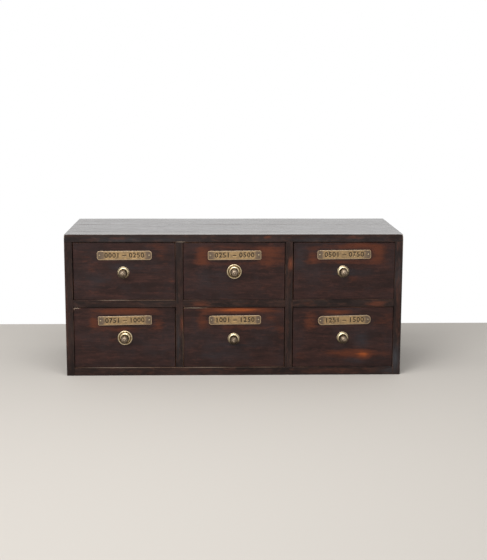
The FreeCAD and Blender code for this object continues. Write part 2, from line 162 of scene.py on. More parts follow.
# The same on the drawers' fronts, from the middle of each one's label plate.
DRAWER_SPOTS = {
    1: {
        "rubbed": [(-80, 3, 20, 18, 0.3), (-75, -28, 20, 14, 0.36), (82, -3, 16, 20, 0.45),
                   (70, 22, 50, 7, 0.4), (105, -58, 10, 40, 0.3), (-12, -54, 42, 14, 0.2),
                   (-73, -84, 30, 10, 0.3), (75, -82, 42, 18, 0.2)],
        "painted_sheen": [(5, -26, 36, 9, 0.5), (-60, -56, 30, 12, 0.35), (70, -30, 20, 16, 0.3)],
    },
    2: {
        "rubbed": [(-74, -3, 17, 19, 0.85), (-10, 17, 66, 7, 0.5), (78, 4, 26, 22, 0.72),
                   (72, -26, 20, 12, 0.32), (0, -17, 76, 6, 0.36), (72, -82, 30, 20, 0.26),
                   (108, 0, 12, 30, 0.28)],
        "painted_sheen": [(-40, -50, 34, 22, 0.4)],
    },
    3: {
        "rubbed": [(36, 23, 26, 5, 0.65), (0, 18, 80, 7, 0.62), (-72, -5, 14, 18, 0.68),
                   (77, 3, 18, 20, 0.78), (0, -17, 76, 6, 0.6), (20, -56, 15, 11, 0.5),
                   (-68, -76, 30, 16, 0.26)],
        "painted_sheen": [(0, -42, 46, 8, 0.7), (-100, 0, 9, 30, 0.5)],
    },
    4: {
        "rubbed": [(2, 22, 66, 7, 1.2), (-70, -3, 12, 15, 0.7), (76, -5, 14, 16, 0.6),
                   (0, -19, 70, 7, 0.6), (-27, -48, 26, 18, 0.36), (12, -66, 28, 7, 0.3)],
        "wear_and_highlight": [(-112, 28, 10, 3, 1.2), (-118, -15, 3, 45, 0.6)],
        "painted_sheen": [(60, -60, 40, 16, 0.35)],
    },
    5: {
        "rubbed": [(5, 23, 68, 6, 1.75), (-74, -2, 14, 16, 0.72), (80, 4, 16, 11, 0.55),
                   (18, -18, 68, 7, 0.5), (105, -30, 11, 32, 0.35)],
        "wear_and_highlight": [(-92, 28, 34, 3, 0.8)],
        "painted_sheen": [(0, -58, 50, 8, 0.5), (-40, -84, 40, 8, 0.4)],
    },
    6: {
        "rubbed": [(-17, 16, 24, 4, 0.8), (0, 20, 60, 7, 0.5), (-77, -4, 17, 23, 0.72),
                   (76, -4, 19, 13, 0.42), (8, -78, 48, 11, 0.95), (46, -80, 15, 9, 1.05),
                   (92, -80, 22, 20, 0.35), (-100, -86, 15, 15, 0.42), (104, 0, 14, 30, 0.32)],
        "painted_sheen": [(28, -92, 28, 6, 0.8), (42, -46, 13, 15, 0.7), (90, -86, 11, 10, 0.6)],
    },
}
LABELS = {
    1: "0001 – 0250",
    2: "0251 – 0500",
    3: "0501 – 0750",
    4: "0751 – 1000",
    5: "1001 – 1250",
    6: "1251 – 1500",
}


# ---- material nodes ----


class Net:
    """The nodes of a material or a world. Most methods add a node and return what it gives."""

    def __init__(self, owner):
        self.owner = owner
        owner.use_nodes = True
        self.tree = owner.node_tree
        self.tree.nodes.clear()

    def node(self, kind, inputs=None, **settings):
        made = self.tree.nodes.new("ShaderNode" + kind)
        for key, value in settings.items():
            setattr(made, key, value)
        for socket, value in (inputs or {}).items():
            self.put(made.inputs[socket], value)
        return made

    def put(self, socket, value):
        """Links or sets a socket."""
        if isinstance(value, bpy.types.NodeSocket):
            self.tree.links.new(value, socket)
        else:
            socket.default_value = value

    def math(self, operation, a, b=0.0):
        return self.node("Math", {0: a, 1: b}, operation=operation).outputs[0]

    def times(self, a, b):
        return self.math("MULTIPLY", a, b)

    def mix_of(self, *parts):
        """The sum of (value, weight) pairs."""
        total = 0.0
        for value, weight in parts:
            total = self.node("Math", {0: value, 1: weight, 2: total}, operation="MULTIPLY_ADD").outputs[0]
        return total

    def blend(self, share, a, b):
        """a where share is 0, b where it is 1."""
        return self.node("Mix", {0: share, 6: a, 7: b}, data_type="RGBA").outputs[2]

    def mix_shader(self, share, a, b):
        """Shader a where share is 0, b where it is 1."""
        return self.node("MixShader", {0: share, 1: a, 2: b}).outputs[0]

    def step(self, value, low, high, rises=True):
        """0 below low and 1 above high, smoothly between, or the other way round."""
        ends = {"To Min": 0.0, "To Max": 1.0} if rises else {"To Min": 1.0, "To Max": 0.0}
        inputs = {"Value": value, "From Min": low, "From Max": high, **ends}
        return self.node("MapRange", inputs, interpolation_type="SMOOTHSTEP").outputs[0]

    def scale(self, value, low, high):
        """Carries 0..1 to low..high."""
        inputs = {"Value": value, "To Min": low, "To Max": high}
        return self.node("MapRange", inputs).outputs[0]

    def noise(self, vector, scale, detail=3.0, roughness=0.55, distortion=0.0):
        inputs = {"Vector": vector, "Scale": scale, "Detail": detail, "Roughness": roughness,
                  "Distortion": distortion}
        return self.node("TexNoise", inputs).outputs[0]

    def attribute(self, name):
        return self.node("Attribute", attribute_name=name).outputs["Fac"]

    def millimetres_in(self):
        """The distance from the nearest arris."""
        return self.times(self.attribute("edge"), 1 / MM)

    def point(self):
        return self.node("TexCoord").outputs["Object"]

    def place(self):
        """The point in the piece's own frame, moved by its seed so that no two pieces match."""
        seed = self.node("CombineXYZ", {0: self.attribute("seed"), 1: 0.31, 2: self.attribute("seed")})
        return self.node("VectorMath", {0: self.point(), 1: seed.outputs[0]}, operation="ADD").outputs[0]

    def drawn_out(self, vector, axis, share):
        """A vector that makes a texture longer along one axis: 1 / `share` times as long."""
        factors = tuple(share if i == axis else 1.0 for i in range(3))
        return self.node("VectorMath", {0: vector, 1: factors}, operation="MULTIPLY").outputs[0]

    def surface(self, colour, roughness, height, depth, **constants):
        """Ends a material with a Principled surface that has a bump of `depth` metres."""
        bump = self.node("Bump", {"Height": height, "Distance": depth, "Strength": 1.0}).outputs[0]
        inputs = {"Base Color": colour, "Roughness": roughness, "Normal": bump}
        inputs.update({key.replace("_", " "): value for key, value in constants.items()})
        shader = self.node("BsdfPrincipled", inputs)
        self.node("OutputMaterial", {"Surface": shader.outputs[0]})
        return self.owner


def new_net(name):
    return Net(bpy.data.materials.new(name))


# The noises of old wood: the share that draws each out along the grain, and its scale, detail,
# roughness and distortion.
GRAIN = {
    "figure": (0.13, 52.0, 4.0, 0.62, 0.7),
    "bands": (0.12, 200.0, 4.0, 0.62, 0.5),
    "mottle": (0.4, 125.0, 4.0, 0.62, 0.4),
    "fibres": (0.035, 620.0, 3.0, 0.65, 0.3),
    "pores": (0.05, 2300.0, 2.0, 0.5, 0.0),
    "clouds": (1.0, 15.0, 4.0, 0.6, 0.0),
    "specks": (1.0, 700.0, 3.0, 0.7, 0.0),
}


def wood_grain(net, axis):
    """The noises of old wood with its grain along an axis, by name."""
    place = net.place()
    return {name: net.noise(net.drawn_out(place, axis, share), *settings)
            for name, (share, *settings) in GRAIN.items()}


def stained(net, grain, colours, mottling):
    """The colour of varnished wood before it is worn: its figure, haze, mottling and fibres."""
    layers = [
        ("bands", 0.44, 0.66, True, 0.6, "dark"),
        ("clouds", 0.42, 0.66, True, 0.6, "haze"),
        ("mottle", 0.50, 0.68, True, mottling, "warm"),
        ("mottle", 0.32, 0.46, False, mottling, "dark"),
        ("fibres", 0.40, 0.56, False, 0.4, "dark"),
    ]
    base = net.blend(net.step(grain["figure"], 0.36, 0.64), colours["dark"], colours["mid"])
    for name, low, high, rises, strength, colour in layers:
        share = net.times(net.step(grain[name], low, high, rises), strength)
        base = net.blend(share, base, colours[colour])
    return base


def weathered(net, grain, colours, base):
    """Adds painted sheen, red where rubbed, worn bare arrises, painted arris highlights and pores to a
    wood's colour.
    """
    bands, clouds = grain["bands"], grain["clouds"]
    # A blue-grey painted sheen where the piece's paint marks it.
    hazy = net.step(net.mix_of((bands, 0.6), (clouds, 0.6)), 0.4, 0.75)
    base = net.blend(net.times(net.attribute("painted_sheen"), hazy), base, colours["sheen_colour"])

    rubbed = net.mix_of((net.attribute("rubbed"), 1.12), (bands, 0.8), (grain["mottle"], 0.6),
                        (grain["figure"], 0.4))
    base = net.blend(net.step(rubbed, 1.12, 1.88), base, colours["red"])
    base = net.blend(net.step(rubbed, 1.9, 2.95), base, colours["hot"])

    wear_and_highlight = net.attribute("wear_and_highlight")
    inset = net.mix_of((net.millimetres_in(), 1.0), (grain["specks"], -1.5), (wear_and_highlight, -0.6))
    arris = net.step(inset, -0.9, 0.5, rises=False)
    patchy = net.step(net.mix_of((clouds, 1.0), (wear_and_highlight, 0.5)), 0.48, 0.70)
    base = net.blend(net.times(net.times(arris, patchy), 0.7), base, colours["bare"])
    # Pale arrises where the paint marks them: a painted highlight as well as worn wood.
    base = net.blend(net.times(arris, net.step(wear_and_highlight, 0.25, 0.9)), base, colours["pale"])
    return net.blend(net.times(net.step(grain["pores"], 0.60, 0.72), 0.7), base, colours["pore"])


def old_wood(name, axis, colours, gloss, specular, mottling, relief=0.08 * MM, polish=None):
    """Dark varnished wood with its grain along an axis, aged where the piece's paint says.

    `gloss` is the least and the most roughness. `polish` is what a noise of 0 and of 1 give as the
    weight of a coat of wax, if the wood has one. The coat is heavier where a painted sheen is marked.
    """
    net = new_net(name)
    grain = wood_grain(net, axis)
    bands, fibres, specks = grain["bands"], grain["fibres"], grain["specks"]
    base = weathered(net, grain, colours, stained(net, grain, colours, mottling))
    roughness = net.scale(net.mix_of((grain["clouds"], 0.4), (bands, 0.4), (specks, 0.2)), *gloss)
    open_pores = net.step(grain["pores"], 0.58, 0.72)
    height = net.mix_of((fibres, 0.5), (specks, 0.25), (open_pores, -1.0))
    finish = {"Specular_IOR_Level": specular}
    if polish:
        wax_left = net.scale(net.mix_of((bands, 0.6), (grain["mottle"], 0.4)), *polish)
        finish["Coat_Weight"] = net.mix_of((wax_left, 1.0), (net.attribute("painted_sheen"), 0.7))
        finish["Coat_Roughness"] = 0.12
    return net.surface(base, roughness, height, relief, **finish)


def bare_wood(name, axis, colours):
    """Unvarnished wood with growth rings, yellowed and dirty, mostly along its arrises."""
    net = new_net(name)
    place = net.place()
    rings = net.noise(net.drawn_out(place, axis, 0.06), 90.0, 2.0, 0.5, 0.8)
    fibres = net.noise(net.drawn_out(place, axis, 0.03), 1300.0, 3.0, 0.7)
    clouds = net.noise(place, 14.0, 4.0, 0.6)
    base = net.blend(net.step(rings, 0.38, 0.62), colours["pale"], colours["deep"])
    base = net.blend(net.times(net.step(fibres, 0.45, 0.75), 0.35), base, colours["deep"])
    base = net.blend(net.times(net.step(clouds, 0.45, 0.8), 0.55), base, colours["grime"])
    dirty = net.step(net.mix_of((net.millimetres_in(), 1.0), (clouds, -3.0)), -1.5, 1.6, rises=False)
    base = net.blend(net.times(dirty, 0.6), base, colours["grime"])
    height = net.mix_of((fibres, 0.7), (rings, 0.3))
    return net.surface(base, net.scale(clouds, 0.62, 0.82), height, 0.12 * MM, Specular_IOR_Level=0.3)


def brass(name, colours, gloss, tarnish):
    """Old brass: `tarnish` is how much of it has dulled, and `gloss` its least and most roughness.

    Grime, and on the turned pieces painted shade under and around the knob, fills what the piece
    marks with a darkening value, and a plate's rim, which it marks with a negative one, has stayed bright.
    """
    net = new_net(name)
    place = net.place()
    recess = net.attribute("recess")
    clouds = net.noise(place, 160.0, 4.0, 0.65)
    specks = net.noise(place, 1500.0, 3.0, 0.7)
    dulled = net.step(clouds, 0.75 - tarnish, 1.0 - tarnish * 0.6)
    base = net.blend(dulled, colours["bright"], colours["dull"])
    grime_and_shade_share = net.step(net.mix_of((recess, 1.0), (clouds, 0.5)), 0.45, 1.05)
    base = net.blend(grime_and_shade_share, base, colours["grime"])
    if "rim" in colours:
        base = net.blend(net.step(recess, -0.65, -0.15, rises=False), base, colours["rim"])
    roughness = net.mix_of((net.scale(clouds, *gloss), 1.0), (grime_and_shade_share, 0.22))
    height = net.mix_of((specks, 0.5), (clouds, 1.0))
    return net.surface(base, roughness, height, 0.03 * MM, Metallic=1.0)


def plain_metal(name, colours, roughness):
    """The metal of pins and nails. `roughness` is the least that it has."""
    net = new_net(name)
    clouds = net.noise(net.point(), 500.0, 4.0, 0.7)
    base = net.blend(net.step(clouds, 0.4, 0.7), colours["clean"], colours["spotted"])
    spread = net.scale(clouds, roughness, roughness + 0.25)
    return net.surface(base, spread, clouds, 0.04 * MM, Metallic=1.0)


def wax():
    """The dark filling of the engraved figures."""
    net = new_net("engraving_wax")
    grain = net.noise(net.point(), 900.0)
    base = net.blend(grain, (0.010, 0.007, 0.005, 1), (0.045, 0.031, 0.018, 1))
    return net.surface(base, net.scale(grain, 0.5, 0.8), grain, 0.05 * MM, Specular_IOR_Level=0.2)


# The "pale" colour of each wood is that of its marked arrises, painted highlight as well as worn wood, and
# its sheen colour that of a painted sheen.
FRONT_COLOURS = {
    "dark": (0.0185, 0.0080, 0.0068, 1),
    "mid": (0.044, 0.0175, 0.0140, 1),
    "haze": (0.032, 0.0200, 0.0205, 1),
    "sheen_colour": (0.030, 0.029, 0.034, 1),
    "warm": (0.070, 0.0275, 0.0215, 1),
    "red": (0.096, 0.0270, 0.0128, 1),
    "hot": (0.34, 0.078, 0.018, 1),
    "bare": (0.20, 0.072, 0.030, 1),
    "pale": (0.42, 0.33, 0.25, 1),
    "pore": (0.004, 0.003, 0.002, 1),
}
CASE_COLOURS = {
    "dark": (0.0115, 0.0062, 0.0052, 1),
    "mid": (0.035, 0.0162, 0.0125, 1),
    "haze": (0.032, 0.0205, 0.0180, 1),
    "sheen_colour": (0.060, 0.066, 0.076, 1),
    "warm": (0.070, 0.0320, 0.0225, 1),
    "red": (0.100, 0.031, 0.0165, 1),
    "hot": (0.34, 0.115, 0.038, 1),
    "bare": (0.16, 0.080, 0.042, 1),
    "pale": (0.36, 0.29, 0.225, 1),
    "pore": (0.004, 0.003, 0.002, 1),
}
TOP_COLOURS = {
    "dark": (0.016, 0.0095, 0.0070, 1),
    "mid": (0.046, 0.0265, 0.0185, 1),
    "haze": (0.060, 0.0440, 0.0350, 1),
    "sheen_colour": (0.20, 0.176, 0.150, 1),
    "warm": (0.030, 0.0150, 0.0100, 1),
    "red": (0.024, 0.0115, 0.0080, 1),
    "hot": (0.012, 0.007, 0.005, 1),
    "bare": (0.10, 0.072, 0.052, 1),
    "pale": (0.62, 0.56, 0.50, 1),
    "pore": (0.006, 0.004, 0.003, 1),
}
LINING_COLOURS = {
    "pale": (0.41, 0.26, 0.132, 1),
    "deep": (0.275, 0.15, 0.066, 1),
    "grime": (0.12, 0.07, 0.036, 1),
}
BACK_COLOURS = {
    "pale": (0.165, 0.094, 0.052, 1),
    "deep": (0.085, 0.045, 0.024, 1),
    "grime": (0.042, 0.027, 0.018, 1),
}
# On the rosettes and knobs, the grime colour also stands for painted shade under the knob and around its
# neck.
ROSETTE_COLOURS = {
    "bright": (0.68, 0.555, 0.36, 1),
    "dull": (0.38, 0.30, 0.175, 1),
    "grime": (0.05, 0.036, 0.02, 1),
}
KNOB_COLOURS = {
    "bright": (0.36, 0.28, 0.20, 1),
    "dull": (0.20, 0.152, 0.110, 1),
    "grime": (0.05, 0.036, 0.024, 1),
}
PLATE_COLOURS = {
    "bright": (0.46, 0.305, 0.150, 1),
    "dull": (0.25, 0.178, 0.105, 1),
    "grime": (0.165, 0.122, 0.090, 1),
    "rim": (0.52, 0.40, 0.275, 1),
}
PIN_COLOURS = {"clean": (0.40, 0.32, 0.20, 1), "spotted": (0.16, 0.12, 0.07, 1)}
NAIL_COLOURS = {"clean": (0.23, 0.205, 0.18, 1), "spotted": (0.12, 0.052, 0.024, 1)}


def make_materials():
    matt = {"gloss": (0.36, 0.56), "specular": 0.18}
    polished = {"gloss": (0.10, 0.36), "specular": 0.5, "polish": (-0.80, 1.05), "relief": 0.006 * MM}
    return {
        "front": old_wood("front_mahogany", 0, FRONT_COLOURS, mottling=0.40, **matt),
        "case_x": old_wood("case_mahogany_x", 0, CASE_COLOURS, mottling=0.50, **matt),
        "case_z": old_wood("case_mahogany_z", 2, CASE_COLOURS, mottling=0.50, **matt),
        "top": old_wood("top_mahogany", 0, TOP_COLOURS, mottling=0.25, **polished),
        "back": bare_wood("back_board_wood", 0, BACK_COLOURS),
        "side_lining": bare_wood("side_lining_wood", 1, LINING_COLOURS),
        "cross_lining": bare_wood("cross_lining_wood", 0, LINING_COLOURS),
        "rosette": brass("rosette_brass", ROSETTE_COLOURS, gloss=(0.20, 0.36), tarnish=0.3),
        "knob": brass("knob_brass", KNOB_COLOURS, gloss=(0.34, 0.52), tarnish=0.5),
        "plate": brass("plate_brass", PLATE_COLOURS, gloss=(0.34, 0.5), tarnish=0.45),
        "pins": plain_metal("pin_brass", PIN_COLOURS, 0.35),
        "iron": plain_metal("nail_iron", NAIL_COLOURS, 0.45),
        "wax": wax(),
    }


# ---- boards ----


def smooth(low, high, x):
    t = min(1.0, max(0.0, (x - low) / (high - low)))
    return t * t * (3 - 2 * t)


def cut_places(low, high, pitch, near_ends, extra=()):
    """Where a board is divided along one axis: an even grid, closer together at both ends."""
    count = max(1, round((high - low) / pitch))
    places = [low + (high - low) * i / count for i in range(1, count)]
    for inset in near_ends:
        if high - low > 4 * inset:
            places += [low + inset, high - inset]
    return sorted(places + [p for p in extra if low < p < high])


def cad_mesh(node):
    """A CAD node's mesh with its flat faces whole again."""
    mesh = bmesh.new()
    mesh.from_mesh(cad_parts[node].data)
    bmesh.ops.remove_doubles(mesh, verts=mesh.verts, dist=SAME_PLACE)
    bmesh.ops.dissolve_limit(mesh, angle_limit=SAME_FACE, verts=mesh.verts, edges=mesh.edges)
    return mesh


def divide(mesh, axis, places):
    """Cuts a mesh across one axis at each place."""
    normal = Vector([float(i == axis) for i in range(3)])
    for place in places:
        geometry = [*mesh.verts, *mesh.edges, *mesh.faces]
        bmesh.ops.bisect_plane(mesh, geom=geometry, dist=SAME_PLACE, plane_co=normal * place,
                               plane_no=normal)


def divided_board(node, lines):
    """A copy of a CAD board's mesh, divided finely enough to be worn and painted."""
    low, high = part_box(node)
    mesh = cad_mesh(node)
    for axis in range(3):
        extra = lines if axis == 1 else ()
        divide(mesh, axis, cut_places(low[axis], high[axis], GRID, NEAR_ARRIS, extra))
    bmesh.ops.triangulate(mesh, faces=[f for f in mesh.faces if len(f.verts) > 4])
    mesh.normal_update()
    return mesh


def worn_depth(point, tilt, seed, most):
    """How far an arris has worn in at a point. `tilt` is 0 on a flat face and 1 at 45 degrees."""
    slow = noise.noise(point * SLOW_SCALE + Vector((seed, 0, 0)))
    quick = noise.noise(point * QUICK_SCALE + Vector((0, seed, 0)))
    chip = smooth(*CHIPPED, noise.noise(point * CHIP_SCALE + Vector((0, 0, seed))))
    depth = EVEN_WEAR + SLOW_WEAR * max(0.0, slow) + QUICK_WEAR * quick + CHIP_WEAR * chip
    return tilt * most * depth


def painted(spots, origin):
    """A function of a point that adds up soft spots on a front face, placed from an origin on it."""

    def amount(point):
        total = 0.0
        for right, up, half_width, half_height, strength in spots:
            across = ((point.x - origin.x) / MM - right) / half_width
            above = ((point.z - origin.z) / MM - up) / half_height
            behind = (point.y - origin.y) / SPOT_DEPTH
            total += strength * math.exp(-0.8 * (across**2 + above**2 + behind**2))
        return total

    return amount


def front_paints(spots, origin):
    return {name: painted(each, origin) for name, each in spots.items()}


def aged(node, body, wood, seed, most_wear, paints=None, upper=None, shape=None, lines=()):
    """Replaces a CAD board with one whose arrises are worn, and paints what its material reads.

    `upper` is another material for the faces that look up, and `shape` a function that moves a
    vertex further. `lines` are places along Y where the board has to be divided too.
    """
    low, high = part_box(node)
    mesh = divided_board(node, lines)
    paints = paints or {}
    layers = {name: mesh.verts.layers.float.new(name) for name in (*paints, "edge", "seed")}
    moves = []
    for v in mesh.verts:
        v[layers["edge"]] = sorted(min(v.co[i] - low[i], high[i] - v.co[i]) for i in range(3))[1]
        v[layers["seed"]] = seed
        for name, paint in paints.items():
            v[layers[name]] = paint(v.co)
        tilt = min(1.0, (1 - max(abs(c) for c in v.normal)) / TILT_OF_ARRIS)
        move = -v.normal * worn_depth(v.co, tilt, seed * 7, most_wear)
        moves.append(move + shape(v) if shape else move)
    for face in mesh.faces:
        face.material_index = int(bool(upper) and face.normal.z > UPWARD_FACE)
    for v, move in zip(mesh.verts, moves):
        v.co += move
    data = bpy.data.meshes.new(node)
    mesh.to_mesh(data)
    mesh.free()
    finish_piece(data, node + "_wood", body, [wood, upper] if upper else [wood], node)


def finish_piece(data, name, body, materials, replaced=None):
    """Makes an object of a mesh, shades it smooth between its sharp edges, and has it ride on a body.

    Its finish is the given materials, and the CAD node that it replaces, if any, is hidden.
    """
    for material in materials:
        data.materials.append(material)
    data.shade_smooth()
    data.set_sharp_from_angle(angle=SHARP_EDGE)
    piece = bpy.data.objects.new(name, data)
    bpy.context.scene.collection.objects.link(piece)
    weighted = piece.modifiers.new("weighted_normals", "WEIGHTED_NORMAL")
    weighted.keep_sharp = True
    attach(piece, body)
    if replaced:
        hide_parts(replaced)


def in_hollow(point, hollow):
    """How deep a point lies in one of the top's hollows, from 0 to 1."""
    behind, half_width, _, kept, stretches = hollow
    deepest = max(math.exp(-(((point.x - middle) / half_length) ** 2)) for middle, half_length in stretches)
    across = 1 - smooth(0, half_width, abs(point.y - FRONT_Y - behind))
    return (kept + (1 - kept) * deepest) * across


def rounding(point):
    """How far a point moves where the top's front upper corners are rounded."""
    beside = min(point.x - TOP_LOW.x, TOP_HIGH.x - point.x)
    insets = (beside, point.y - TOP_LOW.y, TOP_HIGH.z - point.z)
    out = Vector([max(0.0, CORNER_RADIUS - inset) for inset in insets])
    if out.length <= CORNER_RADIUS:
        return Vector()
    share = (1 - smooth(0, CORNER_REACH, max(insets))) * (1 - CORNER_RADIUS / out.length)
    inward = Vector((-math.copysign(1, point.x), 1, -1))
    return out * share * inward


def top_surface(v):
    """Shapes the top's upper face: two hollows, a crack in the first, and a hand-planed waviness."""
    upper = smooth(0.5, 0.9, v.normal.z)
    if upper == 0.0:
        return Vector()
    wave = noise.noise(Vector((v.co.x * WAVE_SCALE[0], v.co.y * WAVE_SCALE[1], 1.3)))
    down = WAVE_DEPTH * (1 + wave) / 2
    for hollow in TOP_HOLLOWS:
        down += hollow[2] * in_hollow(v.co, hollow)
    joint = TOP_HOLLOWS[0]
    if abs(v.co.y - FRONT_Y - joint[0]) < CRACK_HALF_WIDTH / 2:
        down += CRACK_DEPTH * in_hollow(v.co, joint)
    return Vector((0, 0, -upper * down))


def top_shape(v):
    return rounding(v.co) + top_surface(v)


def top_lines():
    """Where the top board is divided so that its hollows and crack can be cut."""
    places = []
    for behind, half_width, _, _, _ in TOP_HOLLOWS:
        places += [FRONT_Y + behind + share * half_width for share in HOLLOW_CUTS]
        places += [FRONT_Y + behind + side * CRACK_HALF_WIDTH for side in (-1, 0, 1)]
    return places


def top_paints(origin):
    """The paint of the top board: spots on its front edge, and dirt in its hollows."""
    paints = front_paints(CASE_SPOTS["case_top"], origin)
    on_front = paints["rubbed"]

    def rubbed(point):
        on_top = smooth(TOP_HIGH.z - 2 * MM, TOP_HIGH.z - 0.5 * MM, point.z)
        return on_front(point) * (1 - on_top) + on_top * max(in_hollow(point, h) for h in TOP_HOLLOWS)

    paints["rubbed"] = rubbed
    return paints


def dress_case(materials):
    foot = Vector((0, FRONT_Y, 0))
    boards = ["case_bottom", "case_shelf", "case_side_left", "case_side_right", "case_partition_left",
              "case_partition_right"]
    for index, node in enumerate(boards):
        upright = "side" in node or "partition" in node
        wood = materials["case_z" if upright else "case_x"]
        aged(node, "case", wood, 2.3 + 1.4 * index, CASE_WEAR, front_paints(CASE_SPOTS[node], foot))
    aged("case_top", "case", materials["case_x"], 1.7, CASE_WEAR, top_paints(foot), materials["top"],
         top_shape, top_lines())
    aged("case_back_upper", "case", materials["back"], 12.2, DRAWER_WEAR)
    aged("case_back_lower", "case", materials["back"], 13.1, DRAWER_WEAR)
    keep_with("case_back_nails", materials["iron"])
    keep_with("case_drawer_stops", materials["cross_lining"])


def dress_drawer(number, materials):
    body = f"drawer_{number}"
    face_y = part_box(f"{body}_front")[0].y
    low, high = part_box(f"{body}_label_plate")
    label = Vector(((low.x + high.x) / 2, face_y, (low.z + high.z) / 2))
    paints = front_paints(DRAWER_SPOTS[number], label)
    aged(f"{body}_front", body, materials["front"], 11.3 * number, DRAWER_WEAR, paints)
    aged(f"{body}_sides", body, materials["side_lining"], 17.9 * number, LINING_WEAR)
    aged(f"{body}_back", body, materials["cross_lining"], 19.3 * number, LINING_WEAR)
    aged(f"{body}_bottom", body, materials["cross_lining"], 23.9 * number, LINING_WEAR)
    keep_with(f"{body}_fasteners", materials["pins"])


def keep_with(node, material):
    """Gives a CAD node that stays a better material."""
    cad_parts[node].data.materials.clear()
    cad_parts[node].data.materials.append(material)


# ---- brassware ----

# Lengths here are in millimetres. The points of a turned piece's profile are (radius, distance,
# darkness), where the darkness says how much grime is held and, on the neck, the knob's seat and the
# rosette's dome near them, how much painted shade of the knob is added. Distances run out from the
# drawer's face, but those of KNOB_SEAT run in from the rosette's crown, and those of BUTTON from the knob's
# tip.
ROSETTE_BORE = 2.7
ROSETTE_SLACK = 0.14
BEAD_RADIUS = 1.7
GROOVE_WIDTH = 0.7
CROWN_RADIUS = 7.4
KNOB_SEAT = [(6.8, 0.5, 1.0), (6.2, 0.45, 1.0), (5.9, 0.1, 0.8), (ROSETTE_BORE, 0.1, 1.0)]
SHANK_RADIUS = 2.5
SHANK_BEVEL = (0.3, 0.4)
NECK = [(SHANK_RADIUS, 5.0, 0.9), (5.4, 5.25, 1.0), (5.6, 5.5, 0.7), (5.6, 6.0, 0.5),
        (5.2, 6.3, 0.8), (4.3, 7.0, 0.9), (3.85, 8.2, 0.8), (3.8, 9.4, 0.7),
        (3.95, 10.8, 0.7), (4.3, 12.0, 0.6), (4.6, 12.4, 0.5)]
BALL_START = 12.6
BALL_MIDDLE = 20.3
RING_DEPTH = 0.25
BUTTON = [(2.3, 0.42, 0.3), (1.9, 0.14, 0.0), (1.1, 0.03, 0.0), (0.0, 0.0, 0.0)]
KNOB_DIRT = {1: 0.25, 2: 0.0, 3: 0.1, 4: 0.25, 5: 0.45, 6: 0.3}
LATHE_SEGMENTS = 72

# A plate is polished within POLISHED_HALF of its middle and fully tarnished from TARNISHED_FROM on.
# The edges of its pin holes are shorter than PIN_HOLE_REACH, and lie that near its middle line.
PLATE_GRID = 3.0
PLATE_RIM = 1.8
PLATE_EDGE = 0.3
PIN_HOLE_REACH = 1.0
POLISHED_HALF = 32.0
TARNISHED_FROM = 58.0
END_RECESS = 0.9
RIM_RECESS = -0.7

# The figures are cut from in front of the plate's face, and the wax in them lies a little behind it.
FIGURE_SIZE = 15.6
FIGURE_WEIGHT = 0.25
FIGURE_SPACING = 1.13
CUT_START = -0.3
WAX_START = 0.1
CUT_DEPTH = 0.5


def turned(profile, seat, name, body, material, replaced, painted_underside_shade):
    """A lathe-turned piece on an axis that runs out of the drawer's face.

    `profile` goes from the back of the bore or shank round to the front, with distances out from
    the seat. The last argument is how much darker the underside is painted: painted shade from light above.
    """
    mesh = bmesh.new()
    recess_layer = mesh.verts.layers.float.new("recess")
    seed_layer = mesh.verts.layers.float.new("seed")
    rings = []
    for radius, out, recess in profile:
        ring = []
        for i in range(LATHE_SEGMENTS if radius > 0 else 1):
            angle = 2 * math.pi * i / LATHE_SEGMENTS
            place = Vector((radius * math.cos(angle), -out, radius * math.sin(angle)))
            v = mesh.verts.new(seat + place * MM)
            # The underside is painted darker: painted shade, as if lit from above.
            v[recess_layer] = recess + painted_underside_shade * smooth(-0.15, 0.8, -math.sin(angle))
            v[seed_layer] = seat.x * 10
            ring.append(v)
        rings.append(ring)
    for near, far in zip(rings, rings[1:]):
        for i in range(LATHE_SEGMENTS):
            j = (i + 1) % LATHE_SEGMENTS
            corners = [near[i % len(near)], near[j % len(near)], far[j % len(far)], far[i % len(far)]]
            mesh.faces.new(dict.fromkeys(corners))
    bmesh.ops.recalc_face_normals(mesh, faces=mesh.faces)
    data = bpy.data.meshes.new(name)
    mesh.to_mesh(data)
    mesh.free()
    finish_piece(data, name, body, [material], replaced)


def arc_points(centre, radius, start, end, count, recess):
    """Points of a profile on an arc. Angles are in degrees from straight out sideways."""
    points = []
    for i in range(count + 1):
        angle = math.radians(start + (end - start) * i / count)
        points.append((centre[0] + radius * math.cos(angle), centre[1] + radius * math.sin(angle), recess))
    return points


def dome_points(foot, crown, bulge, count=12):
    """A rosette's dome, from its foot to its crown, darkening towards the knob's neck: grime and painted
    shade.
    """
    points = []
    for i in range(count + 1):
        t = i / count
        lift = 4 * t * (1 - t) * bulge
        radius = foot[0] + (crown[0] - foot[0]) * t + lift / 2
        out = foot[1] + (crown[1] - foot[1]) * t + lift
        points.append((radius, out, smooth(0.5, 0.85, t)))
    return points


def rosette_face(radius, height, large):
    """A rosette's profile from its rim to its crown. A large one has a bead and a groove first."""
    if not large:
        dome = dome_points((radius - 0.5, 1.2), (CROWN_RADIUS, height), 0.95)
        return [(radius, 0.8, 0.2), *dome]
    bead = arc_points((radius - BEAD_RADIUS, 0.35), BEAD_RADIUS, 0, 180, 12, 0.0)
    outer = radius - 2 * BEAD_RADIUS
    inner = outer - GROOVE_WIDTH
    groove = [(outer - 0.05, 0.3, 1.0), (inner, 0.35, 1.0)]
    return bead + groove + dome_points((inner - 0.2, 0.9), (CROWN_RADIUS, height), 0.6)


